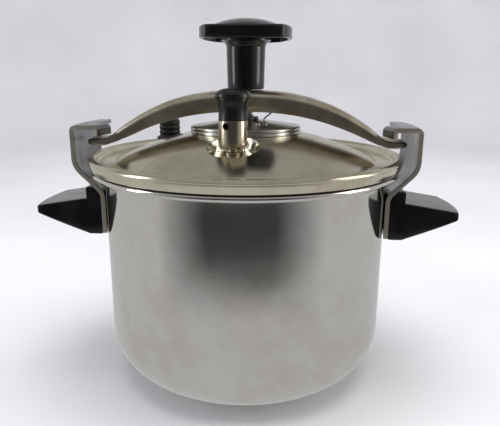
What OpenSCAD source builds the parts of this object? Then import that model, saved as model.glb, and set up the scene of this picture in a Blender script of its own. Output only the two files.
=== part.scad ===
// Stovetop pressure cooker, 6 litres, with a bow clamp.
// A screw in the bow pushes a pressure disc onto the lid, and the bow's ends bear up
// under two hook brackets on the pot. Millimetres, +Z up, origin at the middle of the base.

/* [Pot] */
// Outer radius of the pot
pot_r = 110; // [109:0.5:111]
// Height of the pot's rim above the base
rim_z = 168; // [167:0.5:168]
// Thickness of the pot's wall
pot_wall = 1.2; // [0.8:0.1:2]
// Radius of the rounded corner between wall and floor
corner_r = 36; // [30:1:40]
// Outer radius of the rolled rim
rim_r = 119.2; // [119:0.1:119.4]
// Radius of the heat-spreading base
base_r = 78; // [70:1:79]

/* [Brackets] */
// Thickness of the bracket strip
strip_t = 3.3; // [3:0.1:3.6]
// Width of a bracket along the pot's wall
bracket_w = 60; // [54:1:62]
// Top of the hook brackets
hook_z = 200; // [200:0.5:202]
// Lowest point of the hook lips
lip_z = 192.2; // [192.2:0.1:193]

/* [Handles] */
// Distance from the pot's axis to a handle's tip
handle_tip = 166.5; // [164:0.5:170]
// Width of a handle
handle_w = 58; // [50:1:60]

/* [Lid] */
// Outer radius of the lid's skirt
lid_r = 121.8; // [121.5:0.1:122]
// Thickness of the lid's sheet
lid_t = 1.4; // [1:0.1:1.6]
// Height of the flat top of the lid
lid_top = 194.2; // [193.8:0.1:194.3]

/* [Valves] */
// Distance of the steam regulator from the lid's axis
regulator_r = 58.2; // [57.5:0.1:60]
// Direction of the steam regulator around the lid, in degrees
regulator_dir = -94.7; // [-100:0.1:-85]
// Distance of the safety valve from the lid's axis
safety_r = 83.6; // [82:0.2:85]
// Direction of the safety valve around the lid, in degrees
safety_dir = 147.4; // [140:0.2:150]

/* [Bow] */
// Height of the bow's crown
bow_top = 225.9; // [225.5:0.1:225.9]
// Width of the bow
bow_w = 32; // [30:1:34]
// Distance from the axis to the bow's ends
bow_half = 124; // [122:0.5:125]

/* [Screw and knob] */
// Diameter of the clamping screw
screw_d = 12; // [12]
// Width of the knob's head
knob_w = 70; // [66:1:74]
// Depth of the knob's head
knob_d = 62; // [58:1:64]
// Height of the knob's highest point
knob_top = 278.2; // [277:0.2:280]

/* [Hidden] */
$fn = 96;

steel = "silver";
dull_steel = "slategray";
phenolic = "black";
brass = "goldenrod";
rubber = "dimgray";
far = 400;              // longer than the whole object, for cutting solids
fit = 0.08;             // radial clearance of a running fit
gap = 0.3;              // clearance between moving pieces

// Base and pot
cap_t = 1.2;                          // sheet of the base cap
spreader_t = 3.8;                     // aluminium layer
floor_z = cap_t + spreader_t;         // underside of the pot's floor
flange_t = 2.6;                       // doubled sheet of the rim
rim_roll = 2.2;                       // radius of the rolled edge
rim_in = 4;                           // inner radius where the wall turns out to the rim

// Brackets: a strip bent in a vertical plane, and curved around the pot in plan
saddle_r = 150;                       // plan radius of the strip's inner face
saddle_x = pot_r + 0.05 - saddle_r;   // plan centre of that radius
strip_out = pot_r + 0.05 + strip_t;   // outer face of the strip's lower part
strip_rise = 20.25;                   // how far the upper part stands further out
bend_low = 9;                         // bend radii of the outer face
bend_high = 17;
bend_top = 4.5;
strip_bottom = 116.4;
bend_z = 144.1;                       // where the lower bend starts
slope_run = strip_rise - (bend_low + bend_high) * (1 - cos(45));
bend_end = bend_z + (bend_low + bend_high) * sin(45) + slope_run;
wall_x = strip_out + strip_rise;      // outer face of the upright wall
notch_half = 11;                      // the lip covers the flange's front, up to this line
notch_x = 118;                        // the flange's inner edge behind the lip
lip_in = 105;                         // the lip's inner edge beside the notch
lip_out = 109.5;                      // and at the bracket's edge
lip_t = 3.2;

// Handles
handle_root = 122;                    // outer face of the mounting block
handle_low = 115.2;
handle_high = 144;
block_top = 153;
handle_end_r = 96;                    // plan radius of the handle's bowed end
seat_gap = 0.06;                      // between a handle and its bracket
handle_screw_z = 121;
handle_screw_y = 14;
handle_screw_d = 5;
head_d = 9;
head_seat = 124;                      // |X| where the washers sit in their recesses

// Lid
skirt_z = 168.8;
skirt_in = 2.3;                       // how far the skirt leans in at its lower edge
gasket_z = rim_z + 0.2;
channel_z = 173.2;                    // floor of the ring channel inside the bead
bead_z = 174.8;
bead_r = 3.4;
cone_in = 38;                         // where the flat top ends
cone_out = 101;                       // where the cone meets the channel

// Steam regulator and its seat
pad_z = 184.3;
pad_r = 18;
nozzle_top = 196.2;
weight_z = 190.2;
weight_top = 207.2;
weight_r = 10;
cap_rim_z = 223;
cap_r = 12.4;
regulator_top = 228.7;
hole_z = 203.5;
hole_turn = -25;                      // steam hole, measured from the front

// Safety valve and its seat
boot_z = 181.2;
boot_pad_r = 14;
seat_z = 176;
chamber_r = 4.2;

// Bow
web_t = 3;
side_t = 2.5;
crown_x = 97;                         // end of the curved crown
nut_z = 213;

// Disc and screw
disc_r = 43.2;
disc_boss = 203.6;
neck_d = 8;
shoulder_z = 205.5;
stem_z = bow_top + 0.4;
head_z = 262;
head_top = 271.8;

// ---------- helpers ----------

// Points on a circular arc
function arc(cx, cy, r, a0, a1, n = 8) =
    [for (i = [0 : n]) let (a = a0 + (a1 - a0) * i / n) [cx + r * cos(a), cy + r * sin(a)]];

function reverse(list) = [for (i = [len(list) - 1 : -1 : 0]) list[i]];

function mirror_x(list) = [for (p = reverse(list)) [-p[0], p[1]]];

// Height of the lid's cone at a radius
function lid_z(r) = lid_top - 0.205 * max(0, r - cone_in) - 0.00205 * pow(max(0, r - cone_in), 2);

// Upper and lower edges of the bow at a distance from the axis
function bow_upper(x) = bow_top - 37.4 * pow(x / 108.4, 2.5);
function bow_lower(x) = bow_upper(x) - 16 + 6.2 * pow(x / crown_x, 4);

module ring(r_out, r_in, z0, z1) {
    translate([0, 0, z0]) difference() {
        cylinder(r = r_out, h = z1 - z0);
        translate([0, 0, -1]) cylinder(r = r_in, h = z1 - z0 + 2);
    }
}

module bar(r, z0, z1) {
    translate([0, 0, z0]) cylinder(r = r, h = z1 - z0);
}

// Hexagonal nut, given across its flats
module hex_nut(flats, r_in, z0, z1) {
    translate([0, 0, z0]) difference() {
        cylinder(r = flats / 2 / cos(30), h = z1 - z0, $fn = 6);
        translate([0, 0, -1]) cylinder(r = r_in, h = z1 - z0 + 2);
    }
}

module at_regulator() {
    translate([regulator_r * cos(regulator_dir), regulator_r * sin(regulator_dir), 0]) children();
}

module at_safety() {
    translate([safety_r * cos(safety_dir), safety_r * sin(safety_dir), 0]) children();
}

module left_side() {
    mirror([1, 0, 0]) children();
}

// ---------- pot ----------

// Deep drawn pot with a rolled rim
module pot_body() {
    inner_corner = corner_r - pot_wall;
    floor_r = pot_r - corner_r;
    inside = pot_r - pot_wall;
    neck = rim_z - flange_t;
    color(steel) rotate_extrude() union() {
        polygon(concat(
            [[0, floor_z]],
            arc(floor_r, floor_z + corner_r, corner_r, -90, 0, 12),
            arc(pot_r + 2.8, neck - 2.8, 2.8, 180, 90, 4),
            [[rim_r - rim_roll, neck], [rim_r - rim_roll, rim_z]],
            arc(inside + rim_in, rim_z - rim_in, rim_in, 90, 180, 6),
            arc(floor_r, floor_z + corner_r, inner_corner, 0, -90, 12),
            [[0, floor_z + pot_wall]]));
        translate([rim_r - rim_roll, rim_z - rim_roll]) circle(r = rim_roll);
    }
}

// Aluminium disc that spreads the heat
module heat_spreader() {
    color("lightgray") bar(base_r - 4, cap_t, floor_z);
}

// Steel cap pressed over the spreader
module base_cap() {
    color(steel) rotate_extrude() polygon(concat(
        [[0, 0]],
        arc(base_r - 3.5, 3.5, 3.5, -90, -10, 6),
        [[base_r, floor_z + 0.2], [base_r - cap_t, floor_z - 0.1], [base_r - cap_t, 3.6]],
        arc(base_r - 3.5, 3.5, 2.3, 0, -90, 6),
        [[0, cap_t]]));
}

// Section of the bracket strip, with X measured from the plan centre of its curve
module strip_section() {
    slope_top = [wall_x - bend_high, bend_end];
    translate([-saddle_x, 0]) polygon(concat(
        [[strip_out, strip_bottom]],
        arc(strip_out + bend_low, bend_z, bend_low, 180, 135, 5),
        arc(slope_top[0], slope_top[1], bend_high, -45, 0, 6),
        arc(wall_x - bend_top, hook_z - bend_top, bend_top, 0, 90, 6),
        [[wall_x - 9, hook_z], [wall_x - 9, hook_z - strip_t]],
        arc(wall_x - bend_top, hook_z - bend_top, bend_top - strip_t, 90, 0, 4),
        arc(slope_top[0], slope_top[1], bend_high - strip_t, 0, -45, 6),
        arc(strip_out + bend_low, bend_z, bend_low + strip_t, 135, 180, 5),
        [[strip_out - strip_t, strip_bottom]]));
}

// Hook bracket on the +X side: saddle on the pot, S-bend, wall, and a flange with a front lip
module bracket() {
    half = bracket_w / 2;
    color(dull_steel) union() {
        intersection() {
            translate([saddle_x, 0, 0]) rotate([0, 0, -20]) rotate_extrude(angle = 40) strip_section();
            translate([0, -half, 0]) cube([far, bracket_w, far]);
        }
        translate([0, 0, hook_z - strip_t]) linear_extrude(strip_t) polygon([
            [wall_x - 7, -half], [wall_x - 7, half], [notch_x, half], [notch_x, -notch_half],
            [lip_in, -notch_half], [lip_out, -half]]);
        translate([0, 0, lip_z]) linear_extrude(hook_z - lip_z - 1) polygon([
            [lip_out, -half], [lip_in, -notch_half],
            [lip_in + lip_t, -notch_half], [lip_out + lip_t, -half]]);
    }
}

module bracket_right() {
    difference() {
        bracket();
        handle_screw_holes(handle_screw_d / 2 + 0.05);
    }
}

module bracket_left() {
    left_side() bracket_right();
}

// Both fixing holes of the +X handle
module handle_screw_holes(r) {
    for (s = [-1, 1])
        translate([pot_r - 10, s * handle_screw_y, handle_screw_z]) rotate([0, 90, 0]) cylinder(r = r, h = 40);
}

// Moulded handle on the +X side: a block on the bracket, then a wedge with a bowed end
module handle_right() {
    color(phenolic) difference() {
        intersection() {
            linear_extrude(far) intersection() {
                translate([pot_r - 5, -handle_w / 2]) square([far, handle_w]);
                translate([handle_tip - handle_end_r, 0]) circle(r = handle_end_r, $fn = 180);
            }
            rotate([90, 0, 0]) translate([0, 0, -far / 2]) linear_extrude(far) polygon([
                [pot_r - 5, handle_low], [handle_root - 1, handle_low], [handle_tip - 32, 120.2],
                [handle_tip - 17.5, 125.8], [handle_tip - 7, 130.3], [handle_tip, 133.4],
                [handle_tip, 136.2], [handle_tip - 1, 136.9], [handle_root, handle_high],
                [handle_root, block_top], [pot_r - 5, block_top]]);
        }
        // everything on the pot's side of the bracket's outer face
        translate([saddle_x, 0, 0]) rotate_extrude() translate([seat_gap - saddle_x, 0]) polygon(concat(
            [[saddle_x + 1, 0], [strip_out, 0]],
            arc(strip_out + bend_low, bend_z, bend_low, 180, 135, 5),
            arc(wall_x - bend_high, bend_end, bend_high, -45, 0, 6),
            [[wall_x, hook_z], [saddle_x + 1, hook_z]]));
        handle_screw_holes(handle_screw_d / 2 + 0.3);
        for (s = [-1, 1])
            translate([head_seat - 1, s * handle_screw_y, handle_screw_z])
                rotate([0, 90, 0]) cylinder(r = 6, h = far);
    }
}

module handle_left() {
    left_side() handle_right();
}

// One pan head screw of the +X side, with a cross recess
module handle_screw(side) {
    translate([0, side * handle_screw_y, handle_screw_z]) rotate([0, 90, 0]) difference() {
        union() {
            bar(handle_screw_d / 2, pot_r + 1.3, head_seat + 0.5);
            translate([0, 0, head_seat]) cylinder(r = head_d / 2, h = 3);
        }
        for (a = [0, 90])
            rotate([0, 0, a]) translate([-2.6, -0.6, head_seat + 1.4]) cube([5.2, 1.2, 3]);
    }
}

module handle_screws() {
    color(steel) {
        for (side = [-1, 1]) handle_screw(side);
        left_side() for (side = [-1, 1]) handle_screw(side);
    }
}

module handle_washer(side) {
    translate([0, side * handle_screw_y, handle_screw_z]) rotate([0, 90, 0])
        ring(5.4, handle_screw_d / 2 + 0.1, head_seat - 1, head_seat);
}

module handle_washers() {
    color(steel) {
        for (side = [-1, 1]) handle_washer(side);
        left_side() for (side = [-1, 1]) handle_washer(side);
    }
}

// ---------- lid ----------

// Section of the lid's sheet: flat top, cone, ring channel, bead and skirt
module lid_section() {
    step = (cone_out - cone_in) / 9;
    radii = [for (i = [1 : 8]) cone_in + i * step];
    bead_x = lid_r - bead_r;
    in_r = bead_r - lid_t;
    polygon(concat(
        [[0, lid_top], [cone_in, lid_top]],
        [for (r = radii) [r, lid_z(r)]],
        [[cone_out, channel_z], [bead_x - bead_r - 1.6, channel_z]],
        arc(bead_x, bead_z, bead_r, 180, 0, 12),
        [[lid_r - 0.5, bead_z - 1.6], [lid_r - skirt_in, skirt_z],
         [lid_r - skirt_in - lid_t, skirt_z], [lid_r - 0.5 - lid_t, bead_z - 1.6]],
        arc(bead_x, bead_z, in_r, 0, 180, 8),
        [[bead_x - in_r, channel_z - lid_t], [cone_out - 0.4, channel_z - lid_t]],
        [for (r = reverse(radii)) [r, lid_z(r) - lid_t - 0.05]],
        [[cone_in, lid_top - lid_t], [0, lid_top - lid_t]]));
}

// Everything under the lid's outer surface, for trimming the walls of its flat pads
module under_lid() {
    step = (cone_out - cone_in) / 9;
    rotate_extrude() polygon(concat(
        [[0, skirt_z], [0, lid_top], [cone_in, lid_top]],
        [for (i = [1 : 8]) let (r = cone_in + i * step) [r, lid_z(r)]],
        [[cone_out, channel_z], [cone_out, skirt_z]]));
}

// Flat round pad pressed into the cone under a valve, with a wall below it
module pad(r, z, wall) {
    ring(r, r - lid_t, z - wall, z);
    bar(r, z - lid_t, z);
}

module lid_shell() {
    color(steel) difference() {
        union() {
            difference() {
                rotate_extrude() lid_section();
                at_regulator() bar(pad_r - lid_t, pad_z - 20, pad_z + 20);
                at_safety() bar(boot_pad_r - lid_t, boot_z - 20, boot_z + 20);
            }
            at_regulator() pad(pad_r, pad_z, lid_t);
            difference() {
                at_safety() pad(boot_pad_r, boot_z, 7);
                // the lower wall ends at the cone's underside
                rotate_extrude() polygon(concat(
                    [[0, skirt_z - 1], [0, lid_top - 12]],
                    [for (i = [2 : 8]) let (r = cone_in + i * (cone_out - cone_in) / 9) [r, lid_z(r) - 6]],
                    [[cone_out, channel_z - 4.5], [cone_out, skirt_z - 1]]));
            }
            intersection() {
                under_lid();
                union() {
                    at_regulator() ring(pad_r, pad_r - lid_t, pad_z - 1, pad_z + 10);
                    at_safety() ring(boot_pad_r, boot_pad_r - lid_t, boot_z - 1, boot_z + 8);
                }
            }
        }
        at_regulator() bar(5, pad_z - 20, pad_z + 20);
        at_safety() bar(6.1, boot_z - 20, boot_z + 20);
    }
}

// Flat ring seal under the channel
module lid_gasket() {
    color(rubber) rotate_extrude() union() {
        translate([107, gasket_z]) square([lid_r - skirt_in - lid_t - 0.1 - 107, channel_z - lid_t - gasket_z]);
        translate([116.5, channel_z - lid_t - 0.5]) square([2.4, 2.4]);
    }
}

// Turned nozzle that the regulator sits on
module steam_nozzle() {
    color(brass) at_regulator() rotate_extrude() polygon([
        [1.5, pad_z - 10], [4.9, pad_z - 10], [4.9, pad_z], [6, pad_z], [6, pad_z + 1.2],
        [3.9, pad_z + 1.6], [3.9, nozzle_top - 1.5], [2.6, nozzle_top], [1.5, nozzle_top]]);
}

module nozzle_washer() {
    color(rubber) at_regulator() ring(9, 5, pad_z - lid_t - 1.5, pad_z - lid_t);
}

module nozzle_nut() {
    color(brass) at_regulator() hex_nut(14, 4.95, pad_z - lid_t - 6.5, pad_z - lid_t - 1.5);
}

// ---------- safety valve ----------

// Brass body of the safety valve, screwed through the lid
module safety_housing() {
    color(brass) at_safety() rotate_extrude() polygon([
        [1.7, seat_z - 5], [6, seat_z - 5], [6, boot_z + 1.2], [6.5, boot_z + 1.2], [6.5, 194],
        [chamber_r, 194], [chamber_r, seat_z], [1.7, seat_z]]);
}

module safety_washer() {
    color(steel) at_safety() ring(12, 6.1, boot_z, boot_z + 1.2);
}

module safety_nut() {
    color(brass) at_safety() hex_nut(17, 6.05, boot_z - lid_t - 5, boot_z - lid_t);
}

// Threaded plug that holds the spring down
module safety_plug() {
    color(brass) at_safety() ring(chamber_r - 0.05, 1.8, 190, 193.5);
}

// Ribbed soft cap over the valve
module safety_cap() {
    color("black") at_safety() rotate_extrude() polygon([
        [6.55, boot_z + 1.2], [11.5, boot_z + 1.2], [11.5, boot_z + 2.6], [8.4, boot_z + 4],
        [8.4, boot_z + 6], [9.2, boot_z + 7], [8.4, boot_z + 8], [8.4, boot_z + 10],
        [9.2, boot_z + 11], [8.4, boot_z + 12], [8.4, boot_z + 14], [9.2, boot_z + 15],
        [9, boot_z + 17], [7.8, boot_z + 18.3], [1.5, boot_z + 18.8], [1.5, 197.2],
        [6.55, 196.6]]);
}

module safety_plunger() {
    color(brass) at_safety() {
        bar(3.9, seat_z + gap, seat_z + 4);
        bar(1.5, seat_z + 3.9, 194.5);
    }
}

// Compression spring around the plunger's stem
module safety_spring() {
    turns = 5;
    rings = 12 * turns;
    sides = 6;
    wire = 0.45;
    coil = 3.1;
    z0 = seat_z + 4.5;
    rise = 189.9 - wire - z0;
    points = [for (i = [0 : rings]) let (a = 360 * turns * i / rings, z = z0 + rise * i / rings)
        for (j = [0 : sides - 1]) let (b = 360 * j / sides, r = coil + wire * cos(b))
            [r * cos(a), r * sin(a), z + wire * sin(b)]];
    faces = concat(
        [[for (j = [0 : sides - 1]) j]],
        [for (i = [0 : rings - 1], j = [0 : sides - 1]) let (k = (j + 1) % sides)
            [i * sides + j, (i + 1) * sides + j, (i + 1) * sides + k, i * sides + k]],
        [[for (j = [sides - 1 : -1 : 0]) rings * sides + j]]);
    color(steel) at_safety() polyhedron(points = points, faces = faces, convexity = 8);
}

// ---------- steam regulator ----------

// Metal weight with a radial steam hole; it drops over the nozzle
module regulator_weight() {
    color("tan") at_regulator() difference() {
        rotate_extrude() polygon([
            [4.3, weight_z - 3], [5.1, weight_z - 3], [5.1, weight_z - 0.6], [weight_r - 1.2, weight_z - 0.4],
            [weight_r, weight_z + 0.8], [weight_r, weight_top], [4, weight_top], [4, weight_top + 8],
            [1.55, weight_top + 8], [1.55, weight_top - 1.6], [6.5, weight_top - 1.6],
            [6.5, nozzle_top + 1], [4.3, nozzle_top + 1]]);
        rotate([0, 0, hole_turn]) translate([0, 0, hole_z]) rotate([90, 0, 0]) cylinder(r = 2.1, h = 20);
    }
}

module regulator_needle() {
    color(steel) at_regulator() rotate_extrude() polygon([
        [0, nozzle_top + 0.4], [0.6, nozzle_top + 0.4], [1.5, nozzle_top + 2.4],
        [1.5, weight_top + 7], [0, weight_top + 7]]);
}

// Black grip on top of the weight
module regulator_cap() {
    dome = regulator_top - cap_rim_z;
    ball = (cap_r * cap_r + dome * dome) / (2 * dome);
    edge = asin(cap_r / ball);
    color(phenolic) at_regulator() rotate_extrude() polygon(concat(
        [[4.05, weight_top], [9.9, weight_top], [9.8, weight_top + 4], [10, weight_top + 8],
         [10.7, weight_top + 11.5], [cap_r, cap_rim_z - 1]],
        arc(0, regulator_top - ball, ball, 90 - edge, 90, 8),
        [[0, weight_top + 8.2], [4.05, weight_top + 8.2]]));
}

// ---------- bow ----------

// Half outline of the bow seen from the front: crown, then the low end under the hook
function bow_edge_top() = concat(
    [for (i = [1 : 12]) let (x = crown_x * i / 12) [x, bow_upper(x)]],
    [[104.4, 191.7], [108, 190.2], [114, 189], [bow_half - 2.2, 188.6], [bow_half - 0.4, 187.6]]);
function bow_edge_low() = concat(
    [for (i = [1 : 12]) let (x = crown_x * i / 12) [x, bow_lower(x)]],
    [[103.5, 185.2], [109, 183.5], [114, 183.2], [bow_half - 4.5, 183.8], [bow_half - 1, 185.6],
     [bow_half, 186.6]]);
// Underside of the web, parallel to the crown
function bow_web() = [for (i = [1 : 12]) let (x = 100 * i / 12)
    [x, bow_upper(min(x, crown_x)) - web_t - (x > crown_x ? 3 : 0)]];

// Pressed channel, open below
module bow_channel() {
    inner_w = bow_w - 2 * side_t;
    color("tan") difference() {
        rotate([90, 0, 0]) translate([0, 0, -bow_w / 2]) linear_extrude(bow_w) polygon(concat(
            [[0, bow_top]], bow_edge_top(), reverse(bow_edge_low()), [[0, bow_lower(0)]],
            mirror_x(reverse(bow_edge_low())), mirror_x(bow_edge_top())));
        rotate([90, 0, 0]) translate([0, 0, -inner_w / 2]) linear_extrude(inner_w) polygon(concat(
            mirror_x(bow_web()), [[0, bow_top - web_t]], bow_web(), [[100, 170], [-100, 170]]));
        bar(8.05, 200, 240);
    }
}

// Threaded bush fixed in the crown
module bow_nut() {
    color(steel) difference() {
        union() {
            bar(11, nut_z, bow_top - web_t - 0.2);
            bar(8, nut_z, bow_top - 0.1);
        }
        bar(screw_d / 2 + fit, nut_z - 1, bow_top + 1);
    }
}

// ---------- pressure disc ----------

// Rivets that join the disc's two plates, in two pairs
module rivet_places() {
    for (a = [-65, -51, 115, 129]) rotate([0, 0, a]) translate([25, 0, 0]) children();
}

module pressure_disc() {
    color(steel) difference() {
        rotate_extrude() polygon([
            [neck_d / 2 + fit, disc_boss - 1.8], [9, disc_boss - 1.8], [disc_r - 2, 197.2],
            [disc_r - 1.6, 196.3], [disc_r, 196.3], [disc_r, 198.3], [disc_r - 1.4, 199],
            [10, disc_boss], [neck_d / 2 + fit, disc_boss]]);
        rivet_places() bar(1.65, 190, 210);
    }
}

// Lower plate that rests on the lid
module disc_backing() {
    color(steel) difference() {
        rotate_extrude() polygon([
            [13, 197.2], [36, 194.8], [disc_r - 2.7, 193.7], [disc_r, 193.7], [disc_r, 196],
            [disc_r - 2.2, 196.2], [13, 199.2]]);
        rivet_places() bar(1.65, 190, 210);
    }
}

module disc_rivets() {
    color(steel) rivet_places() {
        bar(1.6, 195.8, 201.9);
        translate([0, 0, 201.8]) cylinder(r1 = 2.4, r2 = 1.6, h = 0.9);
    }
}

module thrust_washer() {
    color(brass) ring(10, neck_d / 2 + fit, disc_boss + 0.05, shoulder_z - 0.1);
}

// Wire that keeps the disc from turning: it rises inside the bow's channel
module centring_wire() {
    r = 0.8;
    bend = [20.5, 0, 209];
    color(dull_steel) union() {
        translate(bend) sphere(r = r + 0.1, $fn = 24);
        translate(bend) rotate([0, 62, 0]) cylinder(r = r, h = 8, $fn = 24);
        translate(bend) rotate([0, 229.5, 0]) cylinder(r = r, h = 9, $fn = 24);
    }
}

// ---------- screw and knob ----------

// Clamping screw: neck and groove below, plain shank, square drive and thread above
module clamp_screw() {
    color(steel) union() {
        rotate_extrude() polygon([
            [0, 198.4], [3.4, 198.4], [neck_d / 2, 199], [neck_d / 2, 199.8], [3.4, 199.8], [3.4, 201.3],
            [neck_d / 2, 201.3], [neck_d / 2, shoulder_z], [screw_d / 2, shoulder_z], [screw_d / 2, 246],
            [0, 246]]);
        translate([-4, -4, 245.5]) cube([8, 8, 12.5]);
        bar(4, 257.5, 268);
    }
}

module retaining_ring() {
    color(dull_steel) ring(7, 3.45, 199.9, 201.2);
}

// Plan of the knob's head, drawn in by an inset: a square with bowed ends and soft corners
module knob_plan(inset) {
    end_r = 74;
    half = knob_w / 2;
    intersection() {
        translate([half - end_r, 0]) circle(r = end_r - inset, $fn = 180);
        translate([end_r - half, 0]) circle(r = end_r - inset, $fn = 180);
        square([knob_w, knob_d - 2 * inset], center = true);
        circle(r = 41.3 - inset);
    }
}

// Moulded knob: a head that is hollow below, on a round stem
module knob() {
    color(phenolic) difference() {
        union() {
            rotate_extrude() polygon(concat(
                [[0, stem_z]], arc(12.6, stem_z + 1.5, 1.5, -90, 0, 4),
                [[14.8, 256.5]], arc(19.8, 257, 5, 180, 90, 6), [[19.8, head_z + 2], [0, head_z + 2]]));
            translate([0, 0, head_z]) linear_extrude(head_top - head_z) knob_plan(0);
        }
        translate([0, 0, head_z - 1]) linear_extrude(4.5) difference() {
            knob_plan(3.2);
            circle(r = 20.2);
        }
        bar(screw_d / 2 + 0.05, stem_z - 1, 246.05);
        translate([-4.05, -4.05, 246]) cube([8.1, 8.1, 12]);
        bar(4.3, 257, head_z);
        bar(10, 259, head_top + 1);
    }
}

module knob_nut() {
    color(steel) hex_nut(13, 4.05, 259.05, 265.5);
}

// Crowned cover over the nut
module knob_cap() {
    rise = knob_top - head_top;
    r = 27.5;
    ball = (r * r + rise * rise) / (2 * rise);
    edge = asin(r / ball);
    color(phenolic) rotate_extrude() polygon(concat(
        [[0, head_top - 3], [9.9, head_top - 3], [9.9, head_top], [r, head_top]],
        arc(0, knob_top - ball, ball, 90 - edge, 90, 10)));
}

pot_body();
heat_spreader();
base_cap();
bracket_left();
bracket_right();
handle_left();
handle_right();
handle_screws();
handle_washers();
lid_shell();
lid_gasket();
steam_nozzle();
nozzle_washer();
nozzle_nut();
safety_housing();
safety_washer();
safety_nut();
safety_plug();
safety_cap();
safety_spring();
safety_plunger();
regulator_weight();
regulator_needle();
regulator_cap();
bow_channel();
bow_nut();
pressure_disc();
disc_backing();
disc_rivets();
thrust_washer();
centring_wire();
clamp_screw();
retaining_ring();
knob();
knob_nut();
knob_cap();
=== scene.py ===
"""Stovetop pressure cooker with a bow clamp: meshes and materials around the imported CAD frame.

All lengths are in millimetres in the row frame, and mesh_object() turns them into metres.
"""

import math

import bmesh
import bpy
from mathutils import Euler, Matrix, Vector

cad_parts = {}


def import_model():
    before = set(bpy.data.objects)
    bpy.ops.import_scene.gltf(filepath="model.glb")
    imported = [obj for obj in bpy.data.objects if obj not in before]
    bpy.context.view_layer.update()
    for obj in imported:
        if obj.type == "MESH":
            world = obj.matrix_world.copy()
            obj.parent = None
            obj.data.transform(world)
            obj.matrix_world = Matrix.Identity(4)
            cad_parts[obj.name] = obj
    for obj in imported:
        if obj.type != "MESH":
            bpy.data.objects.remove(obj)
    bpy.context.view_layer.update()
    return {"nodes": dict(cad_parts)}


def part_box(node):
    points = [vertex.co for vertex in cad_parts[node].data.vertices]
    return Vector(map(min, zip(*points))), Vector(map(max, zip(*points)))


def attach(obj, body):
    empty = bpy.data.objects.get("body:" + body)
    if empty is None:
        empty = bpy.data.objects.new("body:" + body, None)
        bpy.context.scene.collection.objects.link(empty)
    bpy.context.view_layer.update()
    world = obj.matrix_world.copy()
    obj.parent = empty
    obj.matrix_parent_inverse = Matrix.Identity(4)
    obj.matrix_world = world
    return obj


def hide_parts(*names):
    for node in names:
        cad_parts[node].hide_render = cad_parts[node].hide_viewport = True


MM = 0.001
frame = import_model()


def corner(node, which):
    """Lowest (0) or highest (1) corner of a CAD node, in millimetres."""
    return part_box(node)[which] / MM


def middle(node):
    """Plan centre of a CAD node."""
    low, high = corner(node, 0), corner(node, 1)
    return ((low.x + high.x) / 2, (low.y + high.y) / 2)


# ---------- sizes that the meshes share ----------

RIM_R = corner("pot_body", 1).x
RIM_Z = corner("pot_body", 1).z
FLOOR_Z = corner("pot_body", 0).z
POT_R = 110.0
POT_WALL = 1.2
CORNER_R = 36.0
LID_R = corner("lid_shell", 1).x
LID_TOP = corner("lid_shell", 1).z
SKIRT_Z = corner("lid_shell", 0).z
LID_T = 1.4
FLAT_R = 38.0                # the lid's flat middle
CONE_R = 101.0               # where the cone meets the ring channel
CHANNEL_Z = 173.2
REGULATOR = middle("steam_nozzle")
SAFETY = middle("safety_housing")
PAD_Z = corner("steam_nozzle", 0).z + 10
BOOT_Z = corner("safety_washer", 0).z
HOOK_Z = corner("bracket_right", 1).z
STRIP_LOW = corner("bracket_right", 0).z
STRIP_T = 3.3
SADDLE_X = POT_R + 0.05 - 150
STRIP_OUT = POT_R + 0.05 + STRIP_T
WALL_X = corner("bracket_right", 1).x
HANDLE_TIP = corner("handle_right", 1).x
HANDLE_ROOT = 122.0
HANDLE_HALF = corner("handle_right", 1).y
BOW_TOP = corner("bow_channel", 1).z
BOW_HALF = corner("bow_channel", 1).x
BOW_SIDE = corner("bow_channel", 1).y


# ---------- small geometry tools ----------

def smoothstep(low, high, value):
    t = min(1.0, max(0.0, (value - low) / (high - low)))
    return t * t * (3 - 2 * t)


def arc(centre, radius, start, end, steps=8):
    """Points on a circular arc in a plane, with its angles in degrees."""
    angles = [math.radians(start + (end - start) * i / steps) for i in range(steps + 1)]
    return [(centre[0] + radius * math.cos(a), centre[1] + radius * math.sin(a)) for a in angles]


def rounded(outline, steps=4):
    """Outline with its corners rounded. A point is (x, z), or (x, z, radius)."""
    result = []
    count = len(outline)
    for i, point in enumerate(outline):
        here = Vector(point[:2])
        radius = point[2] if len(point) > 2 else 0
        to_last = Vector(outline[i - 1][:2]) - here
        to_next = Vector(outline[(i + 1) % count][:2]) - here
        half = to_last.angle(to_next) / 2 if radius else 0
        if not radius or abs(half - math.pi / 2) < 0.02:
            result.append(tuple(here))
            continue
        reach = min(radius / math.tan(half), 0.48 * to_last.length, 0.48 * to_next.length)
        radius = reach * math.tan(half)
        inward = (to_last.normalized() + to_next.normalized()).normalized()
        centre = here + inward * radius / math.sin(half)
        first = here + to_last.normalized() * reach - centre
        last = here + to_next.normalized() * reach - centre
        turn = first.angle_signed(last)
        for k in range(steps + 1):
            a = -turn * k / steps
            spoke = (
                first.x * math.cos(a) - first.y * math.sin(a),
                first.x * math.sin(a) + first.y * math.cos(a),
            )
            result.append((centre.x + spoke[0], centre.y + spoke[1]))
    return result


def spline(points, steps=6):
    """A smooth curve through points of any dimension."""
    curve = []
    for i in range(len(points) - 1):
        p0, p1 = points[max(i - 1, 0)], points[i]
        p2, p3 = points[i + 1], points[min(i + 2, len(points) - 1)]
        for k in range(steps):
            t = k / steps
            curve.append(tuple(
                0.5 * (2 * b + (c - a) * t + (2 * a - 5 * b + 4 * c - d) * t * t
                       + (3 * b - a - 3 * c + d) * t ** 3)
                for a, b, c, d in zip(p0, p1, p2, p3)
            ))
    curve.append(tuple(points[-1]))
    return curve


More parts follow.
